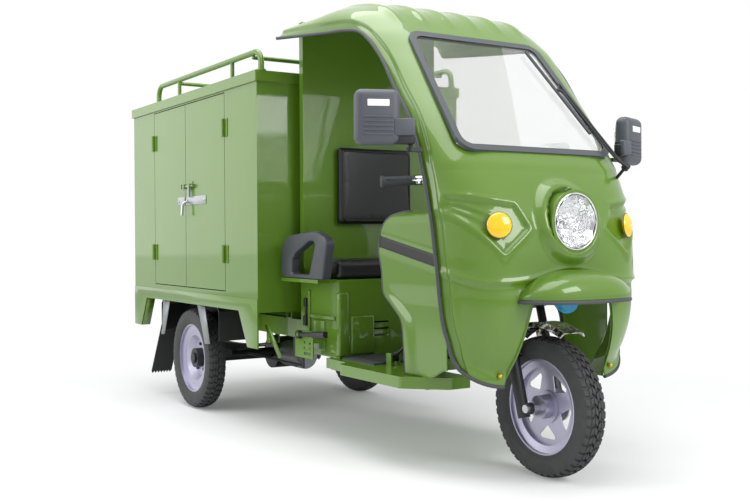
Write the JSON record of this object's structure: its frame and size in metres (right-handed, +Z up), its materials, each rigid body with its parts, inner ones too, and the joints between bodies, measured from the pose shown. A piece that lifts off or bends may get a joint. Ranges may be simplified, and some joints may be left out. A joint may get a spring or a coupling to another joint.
{
  "type": "cargo tricycle",
  "caption": "Electric cargo tricycle with an open-sided cab, sloping windscreen, handlebar steering and a boxed load body with hinged doors and a roof rack.",
  "frame": {"origin": "on the ground at the bottom centre of the bounding box", "axes": "+X forward, +Y to the driver's left, +Z up"},
  "size_m": [2.968, 1.31, 1.716],
  "materials": {
    "green_paint": "gloss moss-green enamel",
    "black_paint": "satin black",
    "silver_paint": "silver rim finish",
    "motor_alloy": "cast alloy",
    "bright": "polished",
    "steel": "zinc plated",
    "tyre_rubber": "matt",
    "rubber": "matt",
    "hide": "grained vinyl",
    "dark_plastic": "fine grain",
    "clear": "clear",
    "amber": "amber lens",
    "red": "red lens",
    "blue": "blue enamel"
  },
  "bodies": {
    "chassis": {"chassis_rails": "green_paint", "steering_head": "black_paint", "floor_pan": "green_paint", "floor_mat": "rubber", "front_fairing": "green_paint", "fairing_visor": "green_paint", "cab_roof": "green_paint", "edge_trim": "rubber", "windscreen_glass": "clear", "windscreen_gasket": "rubber", "headlamp_housing": "bright", "headlamp_lens": "clear", "indicators": "amber", "horn": "blue", "leg_shields": "green_paint", "dashboard": "dark_plastic", "cab_bulkhead": "green_paint", "seat_box": "green_paint", "backrest_cushion": "hide", "armrests": "dark_plastic", "battery_and_controller": "dark_plastic", "cargo_panels": "green_paint", "cargo_roof": "green_paint", "roof_rack": "green_paint", "rear_mudguards": "dark_plastic", "tail_lamps": "red", "door_hinges": "steel", "leaf_springs": "black_paint", "mirror_brackets": "dark_plastic", "brake_linkage": "black_paint"},
    "steering": {"fork_yokes": "black_paint", "handlebar": "bright", "left_grip": "rubber"},
    "throttle": {"throttle_grip": "rubber"},
    "front_brake_lever": {"brake_lever": "bright"},
    "fork_lower": {"fork_sliders": "black_paint", "front_axle": "steel", "front_mudguard": "bright"},
    "front_wheel": {"front_rim": "silver_paint", "front_tyre": "tyre_rubber"},
    "rear_axle_beam": {"rear_axle": "black_paint", "drive_motor": "motor_alloy"},
    "rear_wheel_right": {"rear_rim_right": "silver_paint", "rear_tyre_right": "tyre_rubber", "rear_hub_right": "black_paint"},
    "rear_wheel_left": {"rear_rim_left": "silver_paint", "rear_tyre_left": "tyre_rubber", "rear_hub_left": "black_paint"},
    "side_door_f": {"side_door_front": "green_paint"},
    "side_door_r": {"side_door_rear": "green_paint"},
    "rear_door_rt": {"rear_door_right": "green_paint"},
    "rear_door_lt": {"rear_door_left": "green_paint"},
    "side_latch": {"side_bolt": "steel"},
    "rear_latch": {"rear_bolt": "steel"},
    "wiper_arm": {"wiper": "dark_plastic"},
    "mirror_rt": {"mirror_right": "dark_plastic"},
    "mirror_lt": {"mirror_left": "dark_plastic"},
    "seat": {"seat_cushion": "hide"},
    "pedal": {"brake_pedal": "black_paint"},
    "park_lever": {"parking_lever": "black_paint"}
  },
  "joints": [
    {"name": "steering_turn", "type": "hinge", "parent": "chassis", "child": "steering", "pos_m": [1.20736, 0, 0.22935], "axis": [-0.2756, 0, 0.9613], "range_deg": [-30, 30]},
    {"name": "fork_travel", "type": "slide", "parent": "steering", "child": "fork_lower", "axis": [-0.2756, 0, 0.9613], "range_m": [0, 0.04], "stiffness_N_per_m": 20000, "springref_m": -0.11},
    {"name": "front_wheel_spin", "type": "hinge", "parent": "fork_lower", "child": "front_wheel", "pos_m": [1.241, 0, 0.239], "axis": [0, 1, 0], "continuous": true},
    {"name": "rear_axle_travel", "type": "slide", "parent": "chassis", "child": "rear_axle_beam", "axis": [0, 0, 1], "range_m": [0, 0.045], "stiffness_N_per_m": 40000, "springref_m": -0.13, "deforming": ["leaf_springs"]},
    {"name": "rear_wheel_right_spin", "type": "hinge", "parent": "rear_axle_beam", "child": "rear_wheel_right", "pos_m": [-0.734, -0.451, 0.239], "axis": [0, 1, 0], "continuous": true},
    {"name": "rear_wheel_left_spin", "type": "hinge", "parent": "rear_axle_beam", "child": "rear_wheel_left", "pos_m": [-0.734, 0.451, 0.239], "axis": [0, 1, 0], "continuous": true},
    {"name": "side_door_front_swing", "type": "hinge", "parent": "chassis", "child": "side_door_f", "pos_m": [-0.272, -0.5213, 1], "axis": [0, 0, 1], "range_deg": [0, 110]},
    {"name": "side_door_rear_swing", "type": "hinge", "parent": "chassis", "child": "side_door_r", "pos_m": [-1.15, -0.5213, 1], "axis": [0, 0, -1], "range_deg": [0, 110]},
    {"name": "rear_door_right_swing", "type": "hinge", "parent": "chassis", "child": "rear_door_rt", "pos_m": [-1.4723, -0.457, 1], "axis": [0, 0, 1], "range_deg": [0, 110]},
    {"name": "rear_door_left_swing", "type": "hinge", "parent": "chassis", "child": "rear_door_lt", "pos_m": [-1.4723, 0.457, 1], "axis": [0, 0, -1], "range_deg": [0, 110]},
    {"name": "side_bolt_slide", "type": "slide", "parent": "side_door_f", "child": "side_latch", "axis": [-1, 0, 0], "range_m": [0, 0.034]},
    {"name": "rear_bolt_slide", "type": "slide", "parent": "rear_door_rt", "child": "rear_latch", "axis": [0, 1, 0], "range_m": [0, 0.034]},
    {"name": "wiper_sweep", "type": "hinge", "parent": "chassis", "child": "wiper_arm", "pos_m": [1.26001, 0.334, 1.04339], "axis": [0.7659, 0, 0.643], "range_deg": [0, 65]},
    {"name": "mirror_right_fold", "type": "hinge", "parent": "chassis", "child": "mirror_rt", "pos_m": [1.10946, -0.47, 1.136], "axis": [0, 0, -1], "range_deg": [0, 55]},
    {"name": "mirror_left_fold", "type": "hinge", "parent": "chassis", "child": "mirror_lt", "pos_m": [1.10946, 0.47, 1.136], "axis": [0, 0, 1], "range_deg": [0, 55]},
    {"name": "seat_lift", "type": "hinge", "parent": "chassis", "child": "seat", "pos_m": [0.43, 0, 0.6503], "axis": [0, 1, 0], "range_deg": [0, 75]},
    {"name": "brake_pedal_press", "type": "hinge", "parent": "chassis", "child": "pedal", "pos_m": [0.696, -0.268, 0.37], "axis": [0, 1, 0], "range_deg": [0, 12], "stiffness_Nm_per_rad": 20, "springref_deg": -17.19},
    {"name": "parking_lever_pull", "type": "hinge", "parent": "chassis", "child": "park_lever", "pos_m": [0.216, -0.4088, 0.424], "axis": [0, -1, 0], "range_deg": [0, 40]},
    {"name": "throttle_twist", "type": "hinge", "parent": "steering", "child": "throttle", "pos_m": [0.76605, -0.365, 1.01467], "axis": [0.3971, 0.9165, 0.0489], "range_deg": [0, 60], "stiffness_Nm_per_rad": 0.5, "springref_deg": -17.19},
    {"name": "brake_lever_squeeze", "type": "hinge", "parent": "steering", "child": "front_brake_lever", "pos_m": [0.84792, -0.25026, 1.02142], "axis": [0, 0, -1], "range_deg": [0, 12], "stiffness_Nm_per_rad": 3, "springref_deg": -17.19}
  ]
}
